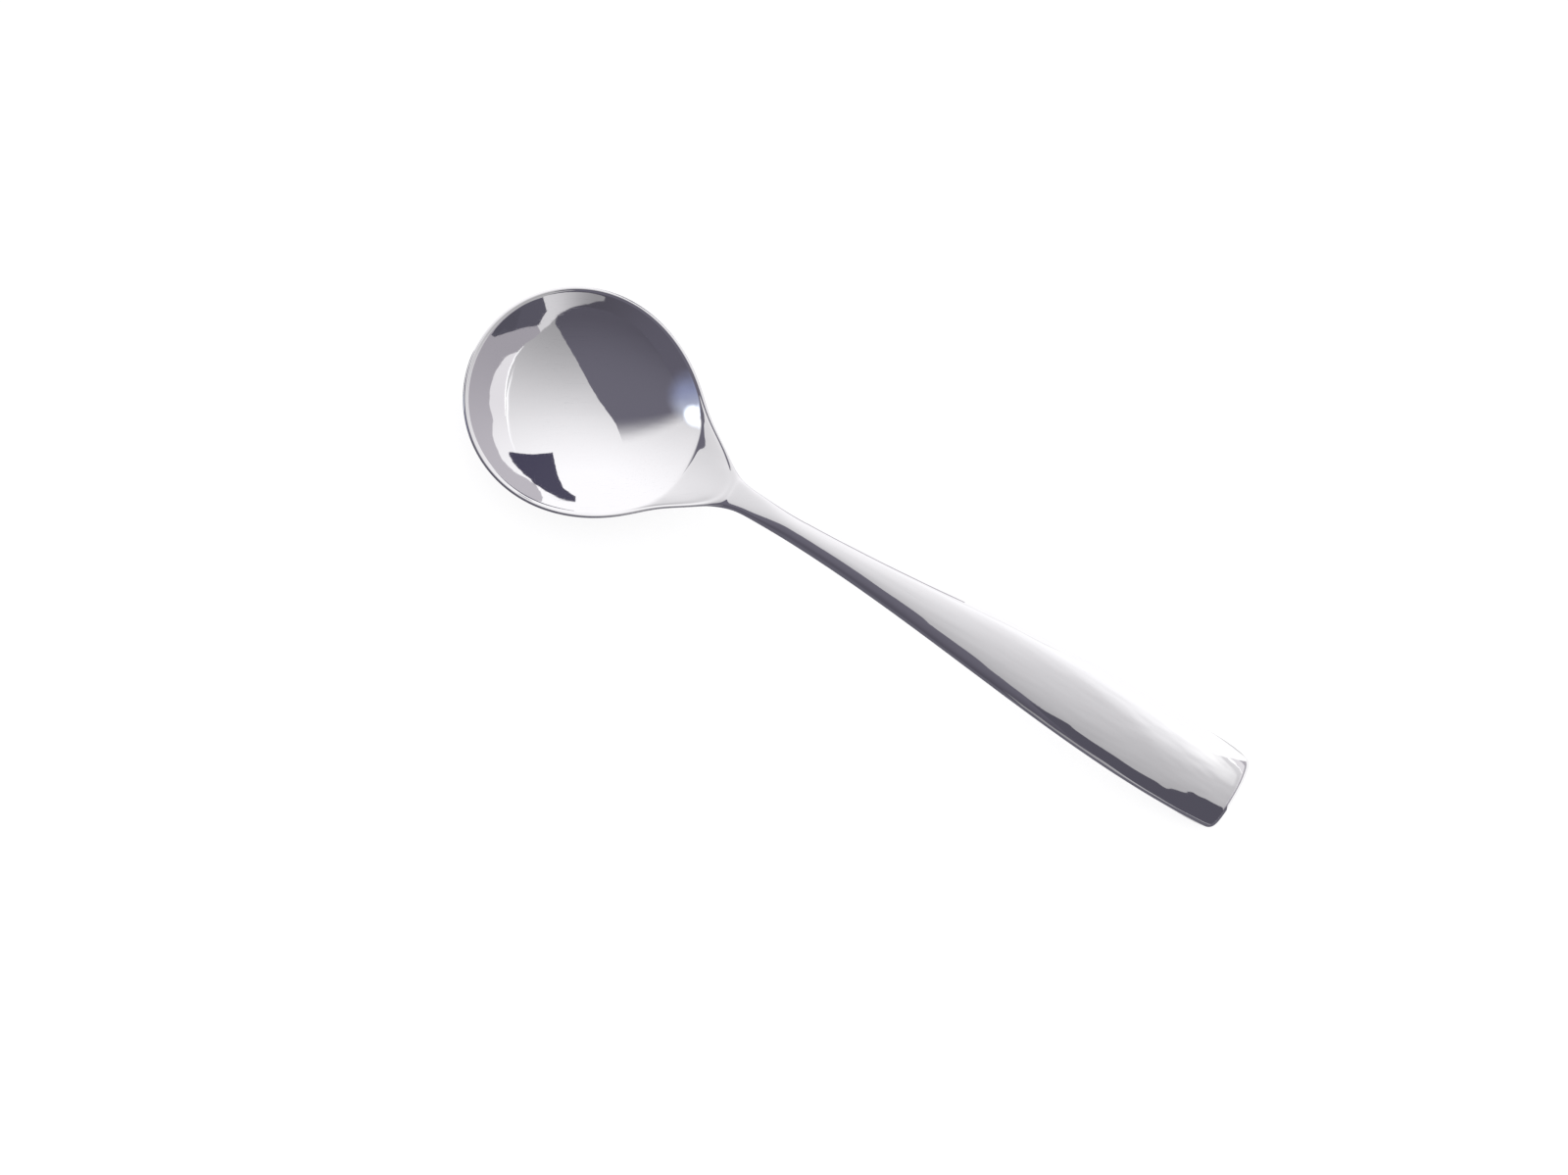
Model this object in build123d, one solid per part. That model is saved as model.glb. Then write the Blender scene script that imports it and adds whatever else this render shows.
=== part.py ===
from math import atan2, cos, exp, hypot, pi, sin
from build123d import *
import os

# Soup spoon lying on a table: bowl tip towards -X, butt towards +X, table at Z = 0.
# Stations are measured along the spoon from the bowl's tip.

# Overall length
length = 178.0

# Bowl: plan outline of the cavity, in polar form round the deepest point
cavity_side = 21.45
cavity_tip = 0.75
cavity_egg = 3.9
egg_power = 7
cavity_throat = 8.0
throat_power = 50

# Bowl: rim and wall
rim_band = 0.8
lip = 0.4
rim_z = 11.0
rim_lift = 2.2
floor = 0.8

# Spine of neck and handle: one arch from the bowl's throat to the table
throat_drop = 2.1
butt_slope = 0.2925

# Neck
root_depth = 12.5
root_half_width = 4.0
root_half_height = 1.75
shoulder_half_width = 5.25
shoulder_back = 2.0
neck_length = 16.65
flare_length = 5.65
flare = 0.045
waist_length = 4.0
waist_half_width = 2.7
neck_half_height = 2.35

# Handle
widest_from_butt = 19.0
widest_half_width = 8.87
widest_half_height = 2.8
butt_round = 1.7
shell_wall = 0.8
butt_wall = 1.8
seam = 0.2

# Tang and its fits
tang_length = 38.0
filler_skin = 0.45
weld_gap = 0.5
tang_play = 0.05
core_play = 0.05

# Cutting tools reach this far past what they cut
margin = 4.5

# Stations and heights that follow from the sizes above
deep_x = cavity_side + cavity_tip + rim_band
throat_x = deep_x + cavity_side + cavity_egg + cavity_throat
throat_z = rim_z + rim_lift - throat_drop
joint_x = throat_x + neck_length
mouth_x = joint_x + weld_gap
waist_x = throat_x + flare_length + waist_length
widest_x = length - widest_from_butt
tall = length / 2


def stations(start, end, count):
    """Evenly spaced stations, both ends included."""
    return [start + (end - start) * i / (count - 1) for i in range(count)]


def swell(x):
    """Share of the way from the neck's size to the handle's widest size."""
    u = max((x - waist_x) / (widest_x - waist_x), 0)
    return 3 * u**2 - 2 * u**3


def half_width(x):
    """Half width of neck and handle, flared towards the bowl."""
    flared = waist_half_width + flare * max(throat_x + flare_length - x, 0) ** 2
    return flared + (widest_half_width - waist_half_width) * swell(x)


def half_height(x):
    """Half thickness of neck and handle."""
    return neck_half_height + (widest_half_height - neck_half_height) * swell(x)


# The butt's face is square to the spine, so its upper edge leans out to the overall length
upright = 1 / hypot(1, butt_slope)
lean = butt_slope * upright
butt_x = length - (half_height(length) - butt_round) * lean - butt_round * (hypot(1, lean) - 1)

# The handle rests on the table where the butt's rounding starts
rest_x = butt_x - butt_round
rest_z = half_height(rest_x) * upright + butt_round * (hypot(butt_slope, upright) - upright)
span = rest_x - throat_x
arch_rise = (butt_slope * span + rest_z - throat_z) / 4


def rim_height(x):
    """Height of the rim at a station: level at the tip, lifted towards the neck."""
    return rim_z + rim_lift * max(x / throat_x, 0) ** 3


def outline_radius(phi, reach, band):
    """Plan radius of the cavity, plus a band, seen from the deepest point."""
    towards_neck = (1 + cos(phi)) / 2
    towards_tip = (1 - cos(phi)) / 2
    throat_share = 1 - exp(-((reach / (cavity_side + cavity_egg)) ** 6))
    throat = cavity_throat * towards_neck**throat_power * throat_share
    egg = cavity_egg * towards_neck**egg_power
    return cavity_side + band + cavity_tip * towards_tip**2 + egg + throat


def dish(base, band):
    """Solid above a smooth bowl surface whose floor is at base and whose edge meets the rim."""
    reach_y = cavity_side + rim_band + margin
    rows = []
    for x in stations(-margin, throat_x + 2 * margin, 47):
        row = []
        for y in stations(-reach_y, reach_y, 37):
            reach = hypot(x - deep_x, y)
            ratio = reach / outline_radius(atan2(y, x - deep_x), reach, band)
            row.append(Vector(x, y, base + (rim_height(x) - base) * ratio**2))
        rows.append(row)
    surface = Face.make_surface_from_array_of_points(rows, tol=0.005, min_deg=3, max_deg=5)
    return Solid.extrude(surface, Vector(0, 0, tall))


def spine(x):
    """Height of the middle line of neck and handle."""
    u = (x - throat_x) / span
    return throat_z + (rest_z - throat_z) * u + 4 * arch_rise * u * (1 - u)


def across(x):
    """Plane square to the spine at a station."""
    u = (x - throat_x) / span
    slope = (rest_z - throat_z + 4 * arch_rise * (1 - 2 * u)) / span
    return Plane(origin=(x, 0, spine(x)), x_dir=(0, 1, 0), z_dir=(1, 0, slope))


def bar(sizes):
    """Loft through ellipses given as station, half width and half height."""
    return loft([across(x) * Ellipse(w, h) for x, w, h in sizes])


def ring(x, inset=0):
    """Ellipse of neck and handle at a station, shrunk by an inset."""
    return x, half_width(x) - inset, half_height(x) - inset


def handle_bar(start, end, inset, count):
    """Body of neck and handle between two stations, shrunk by an inset."""
    return bar([ring(x, inset) for x in stations(start, end, count)])


def tang_bar(play):
    """Tang, or with play the room for it: a slim bar along the spine inside the handle."""
    w = waist_half_width - shell_wall - filler_skin + play
    h = neck_half_height - shell_wall - filler_skin + play
    return bar([(x, w, h) for x in stations(joint_x - weld_gap, joint_x + tang_length + play, 6)])


def slab(over, under):
    """Slab across the handle between two heights measured from the spine."""
    xs = stations(joint_x - margin, length + margin, 12)
    top = Spline([(x, 0, spine(x) + over) for x in xs])
    bottom = Spline([(x, 0, spine(x) + under) for x in xs])
    ends = [Line(top @ 0, bottom @ 0), Line(top @ 1, bottom @ 1)]
    reach_y = widest_half_width + margin
    return extrude(make_face([top, bottom] + ends), amount=reach_y, both=True, dir=(0, 1, 0))


def under_rim():
    """Block below the rim sheet."""
    rim_line = Spline([(x, 0, rim_height(x)) for x in stations(-margin, throat_x + margin, 9)])
    low_tip = Vector(-margin, 0, -margin)
    low_neck = Vector(throat_x + margin, 0, -margin)
    sides = [Line(rim_line @ 0, low_tip), Line(low_tip, low_neck), Line(low_neck, rim_line @ 1)]
    reach_y = cavity_side + rim_band + margin / 2
    return extrude(make_face([rim_line] + sides), amount=reach_y, both=True, dir=(0, 1, 0))


def edge_prism():
    """Upright prism on the rim's outer edge."""
    points = []
    for i in range(48):
        phi = 2 * pi * i / 48
        radius = outline_radius(phi, throat_x - deep_x, rim_band)
        points.append((deep_x + radius * cos(phi), radius * sin(phi), -margin))
    return extrude(make_face(Spline(points, periodic=True)), amount=tall, dir=(0, 0, 1))


# Bowl, neck and tang in one forging, the neck starting inside the bowl's wall
blank = under_rim() & dish(0.0, rim_band + lip) & edge_prism()
root_x = throat_x - root_depth
neck_sizes = [
    (root_x, root_half_width, root_half_height),
    (root_x + root_depth / 2, shoulder_half_width, neck_half_height),
    (throat_x - shoulder_back, shoulder_half_width, neck_half_height),
]
neck_sizes += [ring(x) for x in stations(throat_x + shoulder_back, joint_x, 5)]
neck = bar(neck_sizes)
bowl = (blank + neck) - dish(floor, 0.0) + tang_bar(0)

# Weld ring between the neck's shoulder and the mouth of the shells
neck_weld = handle_bar(joint_x, mouth_x, 0, 2) - tang_bar(tang_play)

# Hollow handle with a rounded butt
body_sizes = [ring(x) for x in stations(mouth_x, rest_x, 12)]
for angle in stations(pi / 8, pi / 2, 4):
    body_sizes.append(ring(rest_x + butt_round * sin(angle), butt_round * (1 - cos(angle))))
hollow = handle_bar(mouth_x - weld_gap, butt_x - butt_wall, shell_wall, 10)
shell = bar(body_sizes) - hollow

# Split into half shells with the weld between them
handle_upper = shell & slab(tall, seam / 2)
seam_weld = shell & slab(seam / 2, -seam / 2)
handle_lower = shell & slab(-seam / 2, -tall)

# Cement core round the tang
core = handle_bar(mouth_x + core_play, butt_x - butt_wall - core_play, shell_wall + core_play, 10)
handle_filler = core - tang_bar(tang_play)

pieces = {
    "bowl": bowl,
    "handle_upper": handle_upper,
    "handle_lower": handle_lower,
    "seam_weld": seam_weld,
    "neck_weld": neck_weld,
    "handle_filler": handle_filler,
}
os.makedirs("parts", exist_ok=True)
for name, shape in pieces.items():
    export_step(Pos(-length / 2, 0, 0) * shape, f"parts/{name}.step")
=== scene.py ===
from math import asin, atan2, cos, exp, hypot, log, pi, radians, sin, tan

import bmesh
import bpy
from mathutils import Matrix, Vector


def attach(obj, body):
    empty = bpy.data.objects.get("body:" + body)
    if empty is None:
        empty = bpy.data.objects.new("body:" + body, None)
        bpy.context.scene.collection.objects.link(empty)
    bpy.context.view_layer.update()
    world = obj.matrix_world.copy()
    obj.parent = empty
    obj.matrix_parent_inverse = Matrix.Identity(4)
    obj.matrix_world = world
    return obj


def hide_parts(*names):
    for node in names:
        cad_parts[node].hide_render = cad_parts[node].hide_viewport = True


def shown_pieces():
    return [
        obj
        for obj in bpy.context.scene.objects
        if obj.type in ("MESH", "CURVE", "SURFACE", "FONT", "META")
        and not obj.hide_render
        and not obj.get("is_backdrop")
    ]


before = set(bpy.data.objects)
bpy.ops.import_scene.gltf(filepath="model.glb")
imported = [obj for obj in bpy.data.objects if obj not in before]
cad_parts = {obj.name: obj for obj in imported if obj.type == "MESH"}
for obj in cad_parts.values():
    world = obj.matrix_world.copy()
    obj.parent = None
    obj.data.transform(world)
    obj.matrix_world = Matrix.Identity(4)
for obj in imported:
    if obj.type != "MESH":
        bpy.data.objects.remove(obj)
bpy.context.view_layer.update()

# Soup spoon of polished steel, lying on a pale table.
# The spoon's sizes are in millimetres, with stations from the bowl's tip. The studio's are in metres.
MM = 0.001
length = 178.0

# Bowl
cavity_side = 21.45
cavity_tip = 0.75
cavity_egg = 3.9
egg_power = 7
cavity_throat = 8.0
throat_power = 50
rim_band = 0.8
lip = 0.4
rim_z = 11.0
rim_lift = 2.2
floor_wall = 0.8
throat_drop = 2.1
throat_crown = 0.25

# Throat: a ramp and a brim between the hollow's wall and the rim
ramp_length = 14.0
ramp_rise = 0.1
ramp_slope = 0.2
ramp_bow = 0.014
ramp_blend = 0.12
knee_share = 0.985
knee_limit = 0.93
rim_roll = 0.17

# Neck
heel_start = 12.5
heel_width = 5.0
neck_root = 1.65
root_flatness = 3.5
root_run = 12
root_fillet = 1.6
fillet_halving = radians(1.35)
neck_length = 16.65
flare_length = 5.65
flare = 0.045
waist_length = 4.0
waist_half_width = 2.7
neck_half_height = 2.35

# Handle
widest_from_butt = 19.0
widest_half_width = 8.87
widest_half_height = 2.8
butt_round = 1.7
butt_slope = 0.2925
skin = 0.015
shell_wall = 0.7
seam = 0.2
weld_gap = 0.5

# Tang
tang_length = 38.0
tang_half_width = 1.45
tang_half_height = 1.1
tang_play = 0.05

# Edges sharper than this stay crisp
hard_angle = radians(50)

# Stations and heights that follow from the sizes above
deep_x = cavity_side + cavity_tip + rim_band
throat_x = deep_x + cavity_side + cavity_egg + cavity_throat
throat_z = rim_z + rim_lift - throat_drop
joint_x = throat_x + neck_length
mouth_x = joint_x + weld_gap
waist_x = throat_x + flare_length + waist_length
widest_x = length - widest_from_butt


def swell(x):
    """Share of the way from the neck's size to the handle's widest size."""
    u = max((x - waist_x) / (widest_x - waist_x), 0)
    return 3 * u**2 - 2 * u**3


def half_width(x):
    """Half width of neck and handle, flared towards the bowl."""
    flared = waist_half_width + flare * max(throat_x + flare_length - x, 0) ** 2
    return flared + (widest_half_width - waist_half_width) * swell(x)


def half_height(x):
    """Half thickness of neck and handle."""
    return neck_half_height + (widest_half_height - neck_half_height) * swell(x)


# The butt's face is square to the spine, and the handle rests where the butt's rounding starts
upright = 1 / hypot(1, butt_slope)
lean = butt_slope * upright
butt_x = length - skin - (half_height(length) - butt_round) * lean - butt_round * (hypot(1, lean) - 1)
rest_x = butt_x - butt_round
rest_z = half_height(rest_x) * upright + butt_round * (hypot(butt_slope, upright) - upright)
span = rest_x - throat_x
arch_rise = (butt_slope * span + rest_z - throat_z) / 4


def smooth(share):
    """Soft step from 0 to 1."""
    share = min(max(share, 0), 1)
    return share * share * (3 - 2 * share)


def rim_height(x):
    """Height of the rim: level at the tip, lifted towards the neck."""
    return rim_z + rim_lift * max(x / throat_x, 0) ** 3


def outline_radius(phi, reach, band):
    """Plan radius of the cavity, plus a band, seen from the deepest point."""
    towards_neck = (1 + cos(phi)) / 2
    towards_tip = (1 - cos(phi)) / 2
    throat_share = 1 - exp(-((reach / (cavity_side + cavity_egg)) ** 6))
    throat = cavity_throat * towards_neck**throat_power * throat_share
    egg = cavity_egg * towards_neck**egg_power
    return cavity_side + band + cavity_tip * towards_tip**2 + egg + throat


def edge_radius(phi, band):
    """Plan radius of the cavity's edge, plus a band."""
    return outline_radius(phi, throat_x - deep_x, band)


def dish(x, y, base, band):
    """Height of a bowl surface whose floor is at base and whose edge meets the rim."""
    reach = hypot(x - deep_x, y)
    ratio = reach / outline_radius(atan2(y, x - deep_x), reach, band)
    return base + (rim_height(x) - base) * ratio**2


def spine(x):
    """Height of the middle line of neck and handle."""
    u = (x - throat_x) / span
    return throat_z + (rest_z - throat_z) * u + 4 * arch_rise * u * (1 - u)


def on_section(x, y, up):
    """Point on the plane square to the spine at a station."""
    u = (x - throat_x) / span
    slope = (rest_z - throat_z + 4 * arch_rise * (1 - 2 * u)) / span
    return Vector((x - up * slope / hypot(1, slope), y, spine(x) + up / hypot(1, slope)))


def around(x, angle, w, h, square=2):
    """Point round the section of neck or handle at a station; a squarer section has a flatter top."""
    y = w * abs(cos(angle)) ** (2 / square) * (1 if cos(angle) > 0 else -1)
    up = h * abs(sin(angle)) ** (2 / square) * (1 if sin(angle) > 0 else -1)
    return on_section(x, y, up)


def into_place(bm):
    """Moves a shape from the spoon's own stations to the frame, in metres."""
    bmesh.ops.translate(bm, verts=bm.verts, vec=(-length / 2, 0, 0))
    bmesh.ops.scale(bm, verts=bm.verts, vec=(MM, MM, MM))


def steel_piece(bm, name):
    """Finished piece that stands for the CAD node of its name."""
    into_place(bm)
    for face in bm.faces:
        face.smooth = True
    mesh = bpy.data.meshes.new(name + "_skin")
    bm.to_mesh(mesh)
    bm.free()
    piece = bpy.data.objects.new(name + "_skin", mesh)
    bpy.context.scene.collection.objects.link(piece)
    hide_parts(name)
    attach(piece, "root")
    return piece


# Bowl: a cage of rings round the deepest point, with the rim's lip drawn out into the neck
spokes = 72
spoke_crowding = 0.6
neck_side = 3
brim_shares = (0.87, 0.72, 0.56, 0.4, 0.25, 0.12, 0.04)
wall_shares = (0.995, 0.97, 0.945, 0.915, 0.87, 0.8, 0.72, 0.63, 0.54, 0.45, 0.36, 0.27, 0.18, 0.1, 0.04)
under_shares = (0.995, 0.975, 0.94, 0.89, 0.83, 0.76, 0.68, 0.59, 0.5, 0.4, 0.3, 0.2, 0.1, 0.04)
neck_corners = 16
neck_step = 2 * pi / neck_corners
neck_fill = 3 / (2 + cos(neck_step))
neck_steps = (1.5, 3.5, 6, 9, 12, 14, neck_length - neck_root)
tang_shares = (0, 0.1, 0.3, 0.5, 0.7, 0.95, 1)

# Share of the rim's band and drop below the rim, for the lip's three rows and for the rows inside them
lip_rows = {1: (0.8, 0.12), 0: (0.998, 0.32), -1: (0.98, 0.5)}
rim_rows = ((0.5, 0.015), (0.22, 0.03), (0.0, rim_roll))


def spoke_angle(k):
    """Plan angle of a spoke, crowded towards the neck."""
    turn = 2 * pi * k / spokes
    return turn - spoke_crowding * sin(turn)


def crown(k):
    """Extra height of the rim where it runs onto the neck."""
    return throat_crown * max(1 - (k / (neck_side + 1)) ** 2, 0)


def edge_point(k, out, drop):
    """Point on the rim: out across its band, from 0 to 1, and dropped below its height."""
    phi = spoke_angle(k)
    fillet = root_fillet * 2 ** (-(abs(phi) - abs(spoke_angle(neck_side))) / fillet_halving)
    radius = edge_radius(phi, (rim_band + min(fillet, root_fillet)) * out)
    x = deep_x + radius * cos(phi)
    return Vector((x, radius * sin(phi), rim_height(x) + crown(k) - drop))


def neck_point(x, angle):
    """Point on the neck's cage, flat-topped where it leaves the bowl."""
    square = 2 + root_flatness * (1 - smooth((x - throat_x - neck_root) / root_run))
    return around(x, angle, half_width(x) * neck_fill, half_height(x) * neck_fill, square)


def neck_angle(k, row):
    """Angle round the neck's section of a spoke's upper (1), middle (0) or lower (-1) vertex."""
    if row == 0:
        return 0 if k > 0 else pi
    return row * (pi / 2 - k * neck_step)


def lip_point(k, row):
    """Upper, middle or lower vertex of the rim's lip, or of the neck's root."""
    if abs(k) <= neck_side:
        x = throat_x + neck_root
        if row == 0 and abs(k) < neck_side:
            top = neck_point(x, neck_angle(k, 1))
            return Vector((top.x, top.y, spine(x)))
        return neck_point(x, neck_angle(k, row))
    return edge_point(k, *lip_rows[row])


def cavity_point(k, wall_share, brim_share):
    """Point on the hollow's surface, whose wall runs out into a gentle ramp and brim towards the neck."""
    phi = spoke_angle(k)
    egg_edge = outline_radius(phi, 0, 0)
    knee = min(knee_share * egg_edge, knee_limit * edge_radius(phi, 0))
    radius = knee * wall_share + (edge_radius(phi, 0) - knee) * brim_share
    x = deep_x + radius * cos(phi)
    y = radius * sin(phi)
    wall = floor_wall + (rim_height(x) - floor_wall) * (radius / egg_edge) ** 2
    ahead = throat_x - x
    slide = rim_height(throat_x) + ramp_rise - ramp_slope * ahead + ramp_bow * y**2
    slide += ramp_slope * max(ahead - ramp_length, 0) ** 2
    brim = rim_height(x) + crown(k) - rim_roll + ramp_blend
    heights = (wall, slide, brim)
    return Vector((x, y, -ramp_blend * log(sum(exp(-height / ramp_blend) for height in heights))))


def under_point(k, share):
    """Point on the underside, which swells into the neck's heel."""
    phi = spoke_angle(k)
    radius = share * edge_radius(phi, rim_band)
    x = deep_x + radius * cos(phi)
    y = radius * sin(phi)
    hull = dish(x, y, 0, rim_band + lip)
    heel = spine(x) - half_height(x)
    share_of_heel = smooth((x - throat_x + heel_start) / heel_start) * exp(-((y / heel_width) ** 2))
    return Vector((x, y, hull + min(heel - hull, 0) * share_of_heel))


def signed(index):
    """Spoke number counted both ways from the neck."""
    return index if index <= spokes / 2 else index - spokes


bm = bmesh.new()
spoke_of = bm.verts.layers.int.new("spoke")
row_of = bm.verts.layers.int.new("row")
start = bmesh.ops.create_circle(bm, segments=spokes, radius=1)["verts"]
for index, vert in enumerate(start):
    vert[spoke_of] = signed(index)
lip_edges = list(bm.edges)


def add_ring(edges, place, row):
    """Draws a ring of edges out into the next ring and places it."""
    grown = bmesh.ops.extrude_edge_only(bm, edges=edges)["geom"]
    for vert in grown:
        if isinstance(vert, bmesh.types.BMVert):
            vert[row_of] = row
            vert.co = place(vert[spoke_of])
    return [edge for edge in grown if isinstance(edge, bmesh.types.BMEdge)]


def last_ring(edges):
    """Vertices of a ring of edges."""
    return list({vert for edge in edges for vert in edge.verts})


for vert in start:
    vert.co = lip_point(vert[spoke_of], 0)
upper = add_ring(lip_edges, lambda k: lip_point(k, 1), 1)
lower = add_ring(lip_edges, lambda k: lip_point(k, -1), -1)
lip_faces = list(bm.faces)
for out, drop in rim_rows:
    upper = add_ring(upper, lambda k: edge_point(k, out, drop), 2)
for share in brim_shares:
    upper = add_ring(upper, lambda k: cavity_point(k, 1, share), 2)
for share in wall_shares:
    upper = add_ring(upper, lambda k: cavity_point(k, share, 0), 2)
for share in under_shares:
    lower = add_ring(lower, lambda k: under_point(k, share), -2)
deepest = Vector((deep_x, 0, floor_wall))
lowest = Vector((deep_x, 0, skin))
bmesh.ops.pointmerge(bm, verts=last_ring(upper), merge_co=deepest)
bmesh.ops.pointmerge(bm, verts=last_ring(lower), merge_co=lowest)


# Neck, drawn out of the lip, with its shoulder and tang
def draw_out(region, place):
    """Draws the neck's end out to the next station and returns its new end."""
    grown = bmesh.ops.extrude_face_region(bm, geom=region)["geom"]
    end = [f for f in grown if isinstance(f, bmesh.types.BMFace)]
    bmesh.ops.delete(bm, geom=[f for f in region if f.is_valid], context="FACES")
    for vert in {v for f in end for v in f.verts}:
        k = vert[spoke_of]
        row = vert[row_of]
        if row == 0 and abs(k) < neck_side:
            vert.co = (place(neck_angle(k, 1)) + place(neck_angle(k, -1))) / 2
        else:
            vert.co = place(neck_angle(k, row))
    return end


def tang_section(x):
    """Place of a vertex on the tang's section at a station, by its angle."""
    return lambda angle: around(x, angle, tang_half_width, tang_half_height)


end = [f for f in lip_faces if all(abs(v[spoke_of]) <= neck_side for v in f.verts)]
for step in neck_steps:
    x = throat_x + neck_root + step
    end = draw_out(end, lambda angle: neck_point(x, angle))
for share in tang_shares:
    end = draw_out(end, tang_section(joint_x + tang_length * share))
bmesh.ops.recalc_face_normals(bm, faces=bm.faces)
crease = bm.edges.layers.float.new("crease_edge")
for edge in bm.edges:
    past_neck = min(vert.co.x for vert in edge.verts) > joint_x - weld_gap
    if past_neck and edge.calc_face_angle() > hard_angle:
        edge[crease] = 1
        edge.smooth = False
bowl_skin = steel_piece(bm, "bowl")
rounding = bowl_skin.modifiers.new("rounding", "SUBSURF")
rounding.levels = 2
rounding.render_levels = 2

# Handle: two half shells, each an arch drawn along the spine and closed over the butt
arc_steps = 40
long_steps = 110
round_steps = 12
butt_shares = (0.6, 0.25, 0)
shell_merge = 0.005


def half_shell(name, side):
    """Upper (1) or lower (-1) half of the hollow handle."""
    bm = bmesh.new()
    step_of = bm.verts.layers.int.new("step")
    first = bm.verts.new((0, 1, 0))
    bmesh.ops.spin(
        bm, geom=[first], cent=(0, 0, 0), axis=(1, 0, 0), angle=pi * side, steps=arc_steps, use_merge=False
    )
    for vert in bm.verts:
        vert[step_of] = round(abs(atan2(vert.co.z, vert.co.y)) * arc_steps / pi)
    rows = [(mouth_x + (rest_x - mouth_x) * i / long_steps, 0, 1) for i in range(long_steps + 1)]
    for i in range(1, round_steps + 1):
        turn = pi / 2 * i / round_steps
        rows.append((rest_x + butt_round * sin(turn), butt_round * (1 - cos(turn)), 1))
    rows += [(butt_x, butt_round, share) for share in butt_shares]
    edges = list(bm.edges)
    for number, (x, inset, share) in enumerate(rows):
        if number:
            grown = bmesh.ops.extrude_edge_only(bm, edges=edges)["geom"]
            edges = [e for e in grown if isinstance(e, bmesh.types.BMEdge)]
        height = half_height(x) - inset
        seam_angle = asin(seam / 2 / height)
        for vert in {v for e in edges for v in e.verts}:
            angle = seam_angle + (pi - 2 * seam_angle) * vert[step_of] / arc_steps
            up = seam / 2 + (height * sin(angle) - seam / 2) * share
            vert.co = on_section(x, (half_width(x) - inset) * cos(angle), side * up)
    bmesh.ops.remove_doubles(bm, verts=bm.verts, dist=shell_merge)
    bmesh.ops.recalc_face_normals(bm, faces=bm.faces)
    top = max(bm.faces, key=lambda f: side * f.calc_center_median().z)
    if top.normal.z * side < 0:
        bmesh.ops.reverse_faces(bm, faces=bm.faces)
    for edge in bm.edges:
        if edge.is_boundary:
            edge.smooth = False
    shell = steel_piece(bm, name)
    wall = shell.modifiers.new("wall", "SOLIDIFY")
    wall.thickness = shell_wall * MM
    wall.offset = -1


half_shell("handle_upper", 1)
half_shell("handle_lower", -1)

# Weld ring between neck and handle, polished flush
ring_steps = 64
ring_merge = 0.001
bm = bmesh.new()
angle_of = bm.verts.layers.float.new("angle")
for vert in bmesh.ops.create_circle(bm, segments=ring_steps, radius=1)["verts"]:
    vert[angle_of] = atan2(vert.co.y, vert.co.x)
    vert.co = around(joint_x, vert[angle_of], half_width(joint_x), half_height(joint_x))
edges = list(bm.edges)
for x, w, h in (
    (mouth_x, half_width(mouth_x), half_height(mouth_x)),
    (mouth_x, tang_half_width + tang_play, tang_half_height + tang_play),
    (joint_x, tang_half_width + tang_play, tang_half_height + tang_play),
    (joint_x, half_width(joint_x), half_height(joint_x)),
):
    grown = bmesh.ops.extrude_edge_only(bm, edges=edges)["geom"]
    edges = [e for e in grown if isinstance(e, bmesh.types.BMEdge)]
    for vert in last_ring(edges):
        vert.co = around(x, vert[angle_of], w, h)
bmesh.ops.remove_doubles(bm, verts=bm.verts, dist=ring_merge)
bmesh.ops.recalc_face_normals(bm, faces=bm.faces)
for edge in bm.edges:
    if edge.calc_face_angle() > hard_angle:
        edge.smooth = False
steel_piece(bm, "neck_weld")

# Camera, nearly straight above, with the picture turned so that the handle points to the lower right
eye = Vector((-0.08437, -0.04871, 0.70119))
aim = Vector((-0.0123, -0.01067, 0.008))
picture_turn = radians(30.66)
focal_length = 80.75
sensor_width = 36
back = (eye - aim).normalized()
along = Vector((cos(picture_turn), sin(picture_turn), 0))
right = (along - back * along.dot(back)).normalized()
up = back.cross(right)
lens = bpy.data.cameras.new("camera")
lens.lens = focal_length
lens.sensor_width = sensor_width
lens.sensor_fit = "HORIZONTAL"
camera = bpy.data.objects.new("camera", lens)
camera.matrix_world = Matrix.Translation(eye) @ Matrix((right, up, back)).transposed().to_4x4()
bpy.context.scene.collection.objects.link(camera)
bpy.context.scene.camera = camera

# Studio: a room that brightens towards the picture's top, and cards round the spoon that only reflections see
toward_right = Vector((0.8602, 0.5099, 0))
toward_top = Vector((-0.5099, 0.8602, 0))
bowl_middle = Vector((-0.066, 0, 0.005))
screen_steps = 4
ground = -0.3
floor_lift = 0.0004
floor_reach = 2.2
table_reach = 4


def spot(right, top, height):
    """Place in the studio, in metres from the middle of the bowl."""
    return bowl_middle + toward_right * right + toward_top * top + Vector((0, 0, height))


def sighting(turn, rise, distance):
    """Place in the studio seen from the bowl at a turn from the picture's right and a rise, in degrees."""
    turn = radians(turn)
    return spot(distance * cos(turn), distance * sin(turn), distance * tan(radians(rise)))


def set_up(name, rows, material):
    """Board of the studio, given by rows of corners."""
    bm = bmesh.new()
    grid = [[bm.verts.new(corner) for corner in row] for row in rows]
    for near, far in zip(grid, grid[1:]):
        bm.faces.new(near + far[::-1])
    mesh = bpy.data.meshes.new(name)
    bm.to_mesh(mesh)
    bm.free()
    mesh.materials.append(material)
    board = bpy.data.objects.new(name, mesh)
    bpy.context.scene.collection.objects.link(board)
    board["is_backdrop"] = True
    return board


def card(name, rows, material):
    """Board that only shows in reflections."""
    board = set_up(name, rows, material)
    board.visible_camera = False
    board.visible_diffuse = False
    board.visible_shadow = False


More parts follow.
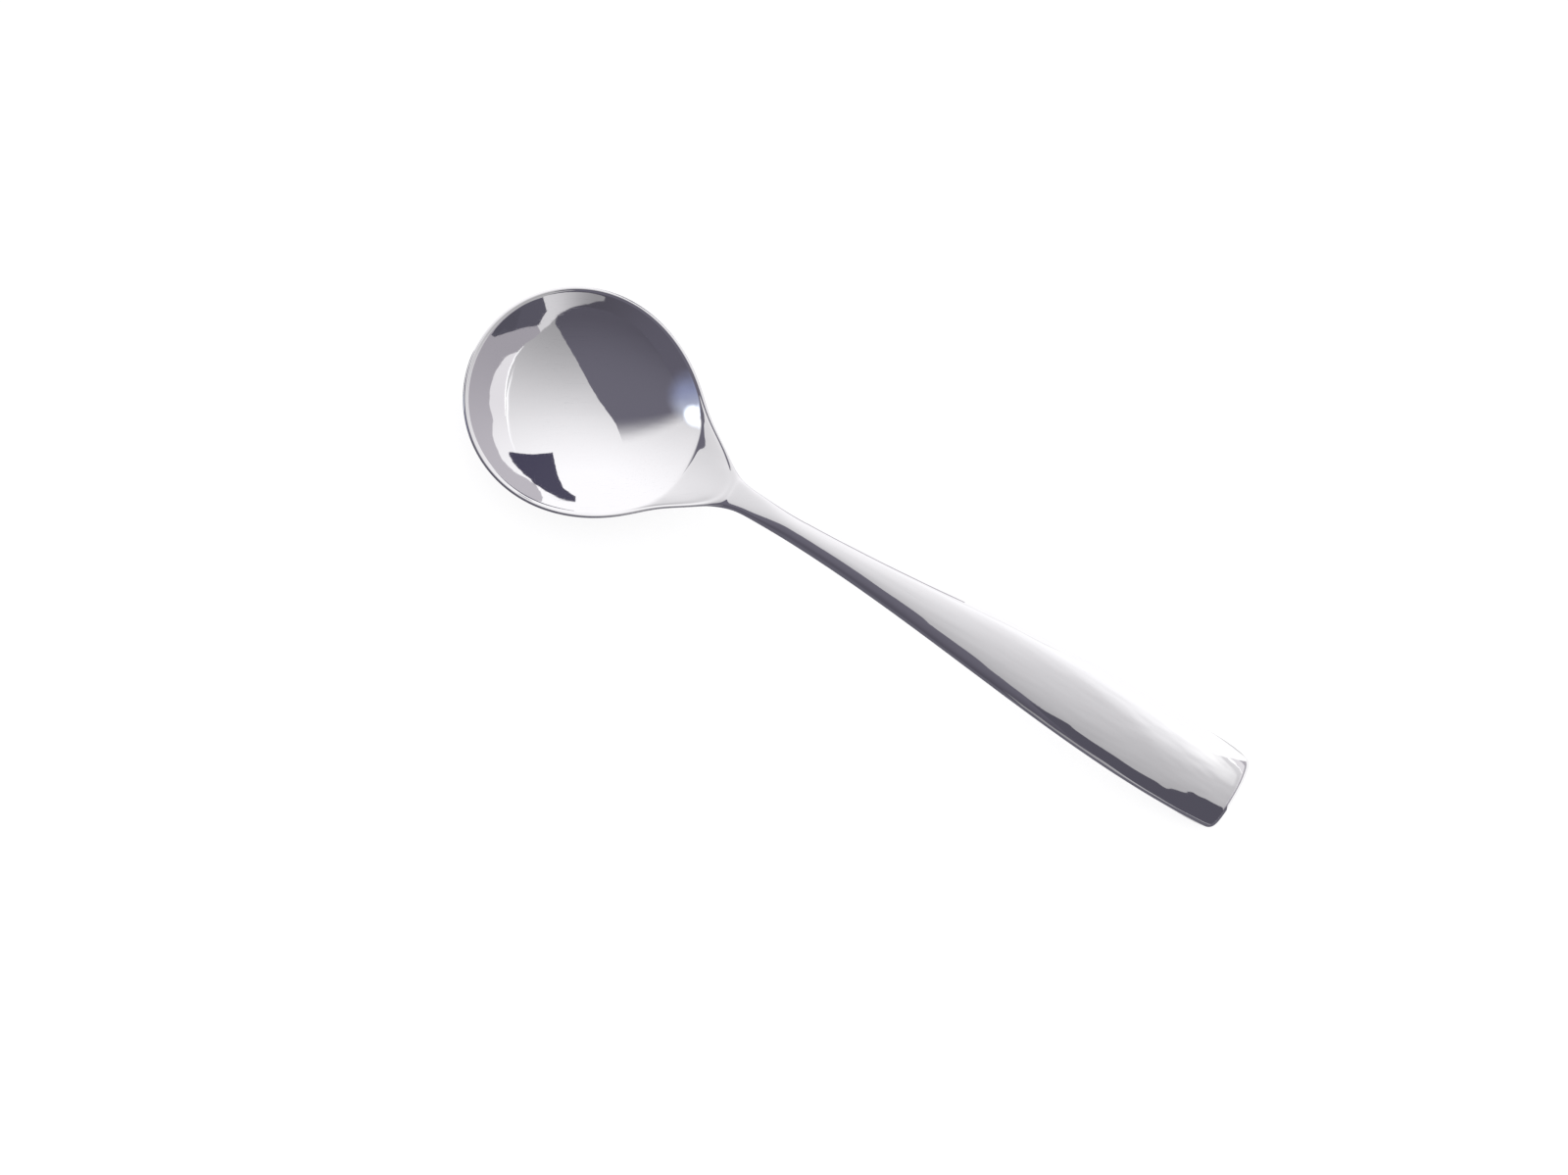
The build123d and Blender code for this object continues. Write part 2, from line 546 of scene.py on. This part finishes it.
def screen(name, profile, distance, material):
    """Upright card round the bowl: turn, lower rise and upper rise of each of its edges."""
    rows = []
    for (turn, low, high), (next_turn, next_low, next_high) in zip(profile, profile[1:]):
        for i in range(screen_steps):
            share = i / screen_steps
            at = turn + (next_turn - turn) * share
            rows.append(
                [
                    sighting(at, low + (next_low - low) * share, distance),
                    sighting(at, high + (next_high - high) * share, distance),
                ]
            )
    turn, low, high = profile[-1]
    rows.append([sighting(turn, low, distance), sighting(turn, high, distance)])
    card(name, rows, material)


def ramp(tree, along, start, end):
    """Value from 0 to 1 along a direction of the studio, between two distances from the bowl's middle."""
    place = tree.nodes.new("ShaderNodeTexCoord")
    measure = tree.nodes.new("ShaderNodeVectorMath")
    measure.operation = "DOT_PRODUCT"
    measure.inputs[1].default_value = along
    step = tree.nodes.new("ShaderNodeMapRange")
    step.interpolation_type = "SMOOTHSTEP"
    step.inputs["From Min"].default_value = start + bowl_middle.dot(along)
    step.inputs["From Max"].default_value = end + bowl_middle.dot(along)
    tree.links.new(place.outputs["Object"], measure.inputs[0])
    tree.links.new(measure.outputs["Value"], step.inputs["Value"])
    return step.outputs["Result"]


def away(tree, middle, start, end):
    """Value from 0 to 1 with the distance from a place in the studio."""
    place = tree.nodes.new("ShaderNodeTexCoord")
    measure = tree.nodes.new("ShaderNodeVectorMath")
    measure.operation = "DISTANCE"
    measure.inputs[1].default_value = middle
    step = tree.nodes.new("ShaderNodeMapRange")
    step.interpolation_type = "SMOOTHSTEP"
    step.inputs["From Min"].default_value = start
    step.inputs["From Max"].default_value = end
    tree.links.new(place.outputs["Object"], measure.inputs[0])
    tree.links.new(measure.outputs["Value"], step.inputs["Value"])
    return step.outputs["Result"]


def glow(name, first, last, along, start, end):
    """Material of a card, from one colour to another along a direction."""
    material = bpy.data.materials.new(name)
    material.use_nodes = True
    material.cycles.emission_sampling = "NONE"
    tree = material.node_tree
    tree.nodes.clear()
    out = tree.nodes.new("ShaderNodeOutputMaterial")
    light = tree.nodes.new("ShaderNodeEmission")
    shades = tree.nodes.new("ShaderNodeMix")
    shades.data_type = "RGBA"
    shades.inputs["A"].default_value = (*first, 1)
    shades.inputs["B"].default_value = (*last, 1)
    tree.links.new(ramp(tree, along, start, end), shades.inputs["Factor"])
    tree.links.new(shades.outputs["Result"], light.inputs["Color"])
    tree.links.new(light.outputs["Emission"], out.inputs["Surface"])
    return material


def fade_out(material, amount):
    """Lets a card's glow fade to nothing where the amount is 1."""
    tree = material.node_tree
    clear = tree.nodes.new("ShaderNodeBsdfTransparent")
    blend = tree.nodes.new("ShaderNodeMixShader")
    tree.links.new(amount, blend.inputs["Fac"])
    tree.links.new(tree.nodes["Emission"].outputs["Emission"], blend.inputs[1])
    tree.links.new(clear.outputs["BSDF"], blend.inputs[2])
    tree.links.new(blend.outputs["Shader"], tree.nodes["Material Output"].inputs["Surface"])


# Dark card overhead: a wedge with one crisp edge and one that fades
overhead_height = 0.6
overhead = glow("overhead_card", (0.11, 0.104, 0.134), (0.165, 0.158, 0.2), toward_top, -1.5, -0.05)
soft_way = toward_right * -0.15 + toward_top * 0.99
fade_out(overhead, ramp(overhead.node_tree, soft_way, 0.16, 0.53))
crisp = ((-0.62, 0.9), (-0.479, 0.327), (0.726, -2.05), (0.9, -3.5))
loose = ((-1.6, 0.9), (-2.6, 0.6), (-7.5, -1.9), (-6.5, -6.5))


def overhead_spot(right, top):
    """Place on the overhead card, in shares of its height."""
    return spot(right * overhead_height, top * overhead_height, overhead_height)


card(
    "overhead_card",
    [[overhead_spot(*near), overhead_spot(*far)] for near, far in zip(crisp, loose)],
    overhead,
)

# Dark backdrop, and the dark cards beside the bowl and beside the butt
backdrop = glow("dark_backdrop", (0.09, 0.085, 0.108), (0.13, 0.123, 0.16), toward_right, 0.0, -2.0)
screen("dark_backdrop", ((-88, ground, 35), (-165, ground, 33), (-176, ground, 22)), 2.0, backdrop)
side_dark = glow("dark_side_card", (0.115, 0.11, 0.142), (0.1, 0.096, 0.124), toward_top, -0.9, -0.1)
side_profile = (
    (-67.6, ground, 16.7),
    (-59.4, ground, 21.9),
    (-56.3, ground, 21.7),
    (-42.2, ground, 14.7),
    (-33, ground, 9),
)
screen("dark_side_card", side_profile, 0.88, side_dark)
small_dark = glow("small_dark_card", (0.085, 0.08, 0.125), (0.07, 0.065, 0.11), toward_right, 0.02, 0.1)
small_corners = (
    (0.0734, 0.0585, 0.0306, 0.0325),
    (0.0603, 0.0714, 0.0268, 0.0512),
    (0.0443, 0.0821, 0.0222, 0.0724),
    (0.0310, 0.0880, 0.0176, 0.0424),
    (0.0244, 0.0902, 0.0158, 0.0285),
    (0.0154, 0.0923, 0.0158, 0.0213),
)
card(
    "small_dark_card",
    [[spot(r, t, foot), spot(r, t, head)] for r, t, foot, head in small_corners],
    small_dark,
)
low_start = 0.04
low_end = 0.008
low_near = (
    (0.087, -0.09),
    (0.103, -0.09),
    (0.125, -0.106),
    (0.138, -0.114),
    (0.15, -0.107),
    (0.165, -0.113),
)
low_far = ((0.13, -0.3), (0.16, -0.33), (0.19, -0.36), (0.24, -0.36), (0.25, -0.3), (0.26, -0.2))
card(
    "low_dark_card",
    [[spot(r, t, low_start), spot(q, s, low_end)] for (r, t), (q, s) in zip(low_near, low_far)],
    side_dark,
)

# Shade on the floor in front of the spoon
floor_shade = glow("floor_shade", (0.13, 0.125, 0.16), (0.16, 0.155, 0.19), toward_right, -0.1, 0.2)
shade_edge = -0.003
shade_ends = (-0.8, 0.5)
card(
    "floor_shade",
    [[Vector((x, y, floor_lift)) for y in (-floor_reach, shade_edge)] for x in shade_ends],
    floor_shade,
)

# Light screens: grey, pale and white ones to the right of the bowl, and a white panel beyond the butt
pale_screen = glow("pale_screen", (0.34, 0.335, 0.35), (0.76, 0.75, 0.77), toward_right, -0.17, 0.38)
pale_profile = (
    (-103, ground, 12.5),
    (-94, ground, 15.7),
    (-83, ground, 17.6),
    (-71, ground, 22.4),
    (-66, ground, 24.5),
    (-53, ground, 26.7),
)
screen("pale_screen", pale_profile, 1.02, pale_screen)
white_screen = glow("white_screen", (0.9, 0.88, 0.91), (1.1, 1.09, 1.11), toward_top, 0.0, 0.9)
white_profile = (
    (-35, ground, 25.6),
    (-20, ground, 26.2),
    (1, ground, 26.4),
    (17, ground, 23.8),
    (34, ground, 20.1),
    (41, ground, 18),
)
screen("white_screen", white_profile, 1.05, white_screen)
grey_screen = glow("grey_screen", (0.42, 0.4, 0.44), (0.6, 0.575, 0.62), toward_top, -0.55, 0.8)
grey_profile = (
    (-58, ground, 26),
    (-53, ground, 26.7),
    (-35.7, ground, 24.8),
    (-25.5, ground, 19.9),
    (-11, ground, 17.9),
    (1.8, ground, 16.3),
    (15.5, ground, 16.4),
    (26.9, ground, 11.8),
    (40.3, ground, 9.2),
    (61.4, ground, 10.2),
    (67.8, ground, 4.7),
)
screen("grey_screen", grey_profile, 0.93, grey_screen)
bright_edge = glow("bright_edge", (1.3, 1.3, 1.32), (1.4, 1.4, 1.4), toward_top, -0.6, 0.3)
edge_profile = ((-42, 25.4, 25.6), (-35, 25.2, 25.9), (-20, 25.8, 26.6), (1, 26.0, 26.8), (14, 24.4, 24.6))
screen("bright_edge", edge_profile, 1.03, bright_edge)
white_panel = glow("white_panel", (1.2, 1.2, 1.22), (1.3, 1.3, 1.3), toward_right, 0.2, 0.4)
fade_out(white_panel, away(white_panel.node_tree, spot(0.36, 0.14, 0.175), 0.19, 0.31))
panel_rise = 0.496
panel_tilt = 0.127
panel_base = 0.014
panel_ends = (0.11, 0.62)
panel_sides = (-0.15, 0.15)
card(
    "white_panel",
    [
        [spot(r, t, panel_rise * r - panel_tilt * t + panel_base) for r in panel_ends]
        for t in panel_sides
    ],
    white_panel,
)

# White strip upright on the table beside the handle, and white floor beyond it
white_floor = glow("white_floor", (1.2, 1.2, 1.21), (1.22, 1.22, 1.22), toward_right, 0.0, 0.3)
strip_foot = 0.0005
strip_edges = (
    (0.02, 0.0105, 0.0165),
    (0.05, 0.0125, 0.0165),
    (0.07, 0.0135, 0.017),
    (0.092, 0.0135, 0.017),
)
card(
    "white_strip",
    [[Vector((x, y, strip_foot)), Vector((x, y, z))] for x, y, z in strip_edges],
    white_floor,
)
floor_edges = ((-0.03, 0.009), (0.02, 0.0105), (0.05, 0.0125), (0.07, 0.0135), (0.092, 0.0135))
card(
    "white_floor",
    [[Vector((x, y, floor_lift)), Vector((x, floor_reach, floor_lift))] for x, y in floor_edges],
    white_floor,
)

# Small lamp low on the left, with its glow
lamp = glow("lamp", (2.6, 2.8, 3.0), (2.2, 2.4, 2.7), toward_top, -0.3, 0)
fade_out(lamp, away(lamp.node_tree, sighting(-181.5, 10.4, 0.95), 0.03, 0.13))
screen("lamp", ((-170, 1, 20), (-193, 1, 20)), 0.95, lamp)
lamp_glow = glow("lamp_glow", (0.3, 0.33, 0.5), (0.62, 0.66, 0.78), toward_top, -0.25, 0.05)
fade_out(lamp_glow, away(lamp_glow.node_tree, sighting(-173, 11, 1.0), 0.08, 0.3))
screen("lamp_glow", ((-140, 0, 45), (-170, 0, 45), (-200, 0, 45)), 1.0, lamp_glow)

# Room
world = bpy.data.worlds.new("room")
bpy.context.scene.world = world
world.use_nodes = True
tree = world.node_tree
background = tree.nodes["Background"]
place = tree.nodes.new("ShaderNodeTexCoord")
measure = tree.nodes.new("ShaderNodeVectorMath")
measure.operation = "DOT_PRODUCT"
measure.inputs[1].default_value = toward_top
bright = tree.nodes.new("ShaderNodeMapRange")
bright.inputs["From Min"].default_value = -1
bright.inputs["From Max"].default_value = 0.9
walls = tree.nodes.new("ShaderNodeMix")
walls.data_type = "RGBA"
walls.inputs["A"].default_value = (0.33, 0.325, 0.338, 1)
walls.inputs["B"].default_value = (1.2, 1.19, 1.21, 1)
seen = tree.nodes.new("ShaderNodeLightPath")
plain = tree.nodes.new("ShaderNodeMix")
plain.data_type = "RGBA"
plain.inputs["B"].default_value = (1.05, 1.05, 1.05, 1)
tree.links.new(place.outputs["Generated"], measure.inputs[0])
tree.links.new(measure.outputs["Value"], bright.inputs["Value"])
tree.links.new(bright.outputs["Result"], walls.inputs["Factor"])
tree.links.new(walls.outputs["Result"], plain.inputs["A"])
tree.links.new(seen.outputs["Is Camera Ray"], plain.inputs["Factor"])
tree.links.new(plain.outputs["Result"], background.inputs["Color"])
bpy.context.scene.view_settings.view_transform = "Standard"

# Table, lit from below like a light table so that hardly a shadow shows
pale = bpy.data.materials.new("pale_table")
pale.use_nodes = True
shader = pale.node_tree.nodes["Principled BSDF"]
shader.inputs["Base Color"].default_value = (0.35, 0.35, 0.35, 1)
shader.inputs["Roughness"].default_value = 0.9
shader.inputs["Specular IOR Level"].default_value = 0
shader.inputs["Emission Color"].default_value = (1, 1, 1, 1)
shader.inputs["Emission Strength"].default_value = 0.8
pale.cycles.emission_sampling = "NONE"
table_ends = (-table_reach, table_reach)
set_up("table", [[spot(r, t, -bowl_middle.z) for r in table_ends] for t in table_ends], pale)


# Steel and cement
def polish_marks():
    """Node group: fine polishing lines along the first axis of its vector, on a slightly wavy surface."""
    group = bpy.data.node_groups.new("polish_marks", "ShaderNodeTree")
    face = group.interface
    face.new_socket("Vector", in_out="INPUT", socket_type="NodeSocketVector")
    face.new_socket("Lines per Metre", in_out="INPUT", socket_type="NodeSocketFloat")
    face.new_socket("Wear", in_out="INPUT", socket_type="NodeSocketFloat")
    face.new_socket("Waviness", in_out="INPUT", socket_type="NodeSocketFloat")
    face.new_socket("Tone", in_out="OUTPUT", socket_type="NodeSocketColor")
    face.new_socket("Roughness", in_out="OUTPUT", socket_type="NodeSocketFloat")
    face.new_socket("Height", in_out="OUTPUT", socket_type="NodeSocketFloat")
    nodes = group.nodes
    links = group.links
    given = nodes.new("NodeGroupInput")
    result = nodes.new("NodeGroupOutput")
    stretch = nodes.new("ShaderNodeMapping")
    stretch.inputs["Scale"].default_value = (0.012, 1, 1)
    lines = nodes.new("ShaderNodeTexNoise")
    lines.inputs["Detail"].default_value = 3
    sparse = nodes.new("ShaderNodeMapRange")
    sparse.inputs["From Min"].default_value = 0.58
    sparse.inputs["From Max"].default_value = 0.76
    clouds = nodes.new("ShaderNodeTexNoise")
    clouds.inputs["Scale"].default_value = 70
    clouds.inputs["Detail"].default_value = 4
    patches = nodes.new("ShaderNodeMapRange")
    patches.inputs["From Min"].default_value = 0.4
    patches.inputs["From Max"].default_value = 0.7
    patchy = nodes.new("ShaderNodeMath")
    patchy.operation = "MULTIPLY"
    worn = nodes.new("ShaderNodeMath")
    worn.operation = "MULTIPLY"
    rough = nodes.new("ShaderNodeMapRange")
    rough.inputs["To Min"].default_value = 0.035
    rough.inputs["To Max"].default_value = 0.2
    tone = nodes.new("ShaderNodeMix")
    tone.data_type = "RGBA"
    tone.inputs["A"].default_value = (0.83, 0.825, 0.835, 1)
    tone.inputs["B"].default_value = (0.68, 0.68, 0.7, 1)
    flow = nodes.new("ShaderNodeMapping")
    flow.inputs["Scale"].default_value = (0.08, 1, 1)
    waves = nodes.new("ShaderNodeTexNoise")
    waves.inputs["Scale"].default_value = 240
    waves.inputs["Detail"].default_value = 2
    swellings = nodes.new("ShaderNodeMath")
    swellings.operation = "MULTIPLY"
    relief = nodes.new("ShaderNodeMath")
    relief.operation = "MULTIPLY_ADD"
    relief.inputs[1].default_value = 0.02
    links.new(given.outputs["Vector"], stretch.inputs["Vector"])
    links.new(stretch.outputs["Vector"], lines.inputs["Vector"])
    links.new(given.outputs["Lines per Metre"], lines.inputs["Scale"])
    links.new(given.outputs["Vector"], clouds.inputs["Vector"])
    links.new(lines.outputs["Fac"], sparse.inputs["Value"])
    links.new(clouds.outputs["Fac"], patches.inputs["Value"])
    links.new(sparse.outputs["Result"], patchy.inputs[0])
    links.new(patches.outputs["Result"], patchy.inputs[1])
    links.new(patchy.outputs["Value"], worn.inputs[0])
    links.new(given.outputs["Wear"], worn.inputs[1])
    links.new(worn.outputs["Value"], rough.inputs["Value"])
    links.new(worn.outputs["Value"], tone.inputs["Factor"])
    links.new(given.outputs["Vector"], flow.inputs["Vector"])
    links.new(flow.outputs["Vector"], waves.inputs["Vector"])
    links.new(waves.outputs["Fac"], swellings.inputs[0])
    links.new(given.outputs["Waviness"], swellings.inputs[1])
    links.new(worn.outputs["Value"], relief.inputs[0])
    links.new(swellings.outputs["Value"], relief.inputs[2])
    links.new(tone.outputs["Result"], result.inputs["Tone"])
    links.new(rough.outputs["Result"], result.inputs["Roughness"])
    links.new(relief.outputs["Value"], result.inputs["Height"])
    return group


marks_group = polish_marks()


def steel(name, turn, lines, wear, waviness):
    """Polished steel whose lines run at an angle to the spoon."""
    material = bpy.data.materials.new(name)
    material.use_nodes = True
    tree = material.node_tree
    shader = tree.nodes["Principled BSDF"]
    shader.inputs["Metallic"].default_value = 1
    place = tree.nodes.new("ShaderNodeTexCoord")
    turned = tree.nodes.new("ShaderNodeMapping")
    turned.inputs["Rotation"].default_value = (0, 0, -turn)
    marks = tree.nodes.new("ShaderNodeGroup")
    marks.node_tree = marks_group
    marks.inputs["Lines per Metre"].default_value = lines
    marks.inputs["Wear"].default_value = wear
    marks.inputs["Waviness"].default_value = waviness
    relief = tree.nodes.new("ShaderNodeBump")
    relief.inputs["Strength"].default_value = 1
    relief.inputs["Distance"].default_value = 0.0001
    tree.links.new(place.outputs["Object"], turned.inputs["Vector"])
    tree.links.new(turned.outputs["Vector"], marks.inputs["Vector"])
    tree.links.new(marks.outputs["Tone"], shader.inputs["Base Color"])
    tree.links.new(marks.outputs["Roughness"], shader.inputs["Roughness"])
    tree.links.new(marks.outputs["Height"], relief.inputs["Height"])
    tree.links.new(relief.outputs["Normal"], shader.inputs["Normal"])
    return material


def cement_material():
    """Grey cement with sand grains and pores."""
    material = bpy.data.materials.new("cement")
    material.use_nodes = True
    tree = material.node_tree
    shader = tree.nodes["Principled BSDF"]
    shader.inputs["Specular IOR Level"].default_value = 0.2
    place = tree.nodes.new("ShaderNodeTexCoord")
    grains = tree.nodes.new("ShaderNodeTexNoise")
    grains.inputs["Scale"].default_value = 1800
    grains.inputs["Detail"].default_value = 6
    pores = tree.nodes.new("ShaderNodeTexVoronoi")
    pores.inputs["Scale"].default_value = 900
    shades = tree.nodes.new("ShaderNodeMix")
    shades.data_type = "RGBA"
    shades.inputs["A"].default_value = (0.42, 0.41, 0.38, 1)
    shades.inputs["B"].default_value = (0.66, 0.65, 0.62, 1)
    rough = tree.nodes.new("ShaderNodeMapRange")
    rough.inputs["To Min"].default_value = 0.75
    rough.inputs["To Max"].default_value = 0.98
    relief = tree.nodes.new("ShaderNodeBump")
    relief.inputs["Strength"].default_value = 0.4
    relief.inputs["Distance"].default_value = 0.0002
    tree.links.new(place.outputs["Object"], grains.inputs["Vector"])
    tree.links.new(place.outputs["Object"], pores.inputs["Vector"])
    tree.links.new(grains.outputs["Fac"], shades.inputs["Factor"])
    tree.links.new(grains.outputs["Fac"], rough.inputs["Value"])
    tree.links.new(shades.outputs["Result"], shader.inputs["Base Color"])
    tree.links.new(rough.outputs["Result"], shader.inputs["Roughness"])
    tree.links.new(pores.outputs["Distance"], relief.inputs["Height"])
    tree.links.new(relief.outputs["Normal"], shader.inputs["Normal"])
    return material


bowl_steel = steel("bowl_steel", turn=picture_turn, lines=5200, wear=0.5, waviness=0.25)
handle_steel = steel("handle_steel", turn=0, lines=5200, wear=0.5, waviness=1.6)
weld_steel = steel("weld_steel", turn=pi / 2, lines=7000, wear=0.9, waviness=0.2)
finishes = {
    "bowl_skin": bowl_steel,
    "handle_upper_skin": handle_steel,
    "handle_lower_skin": handle_steel,
    "seam_weld": weld_steel,
    "neck_weld_skin": weld_steel,
    "handle_filler": cement_material(),
}
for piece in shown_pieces():
    piece.data.materials.clear()
    piece.data.materials.append(finishes[piece.name])
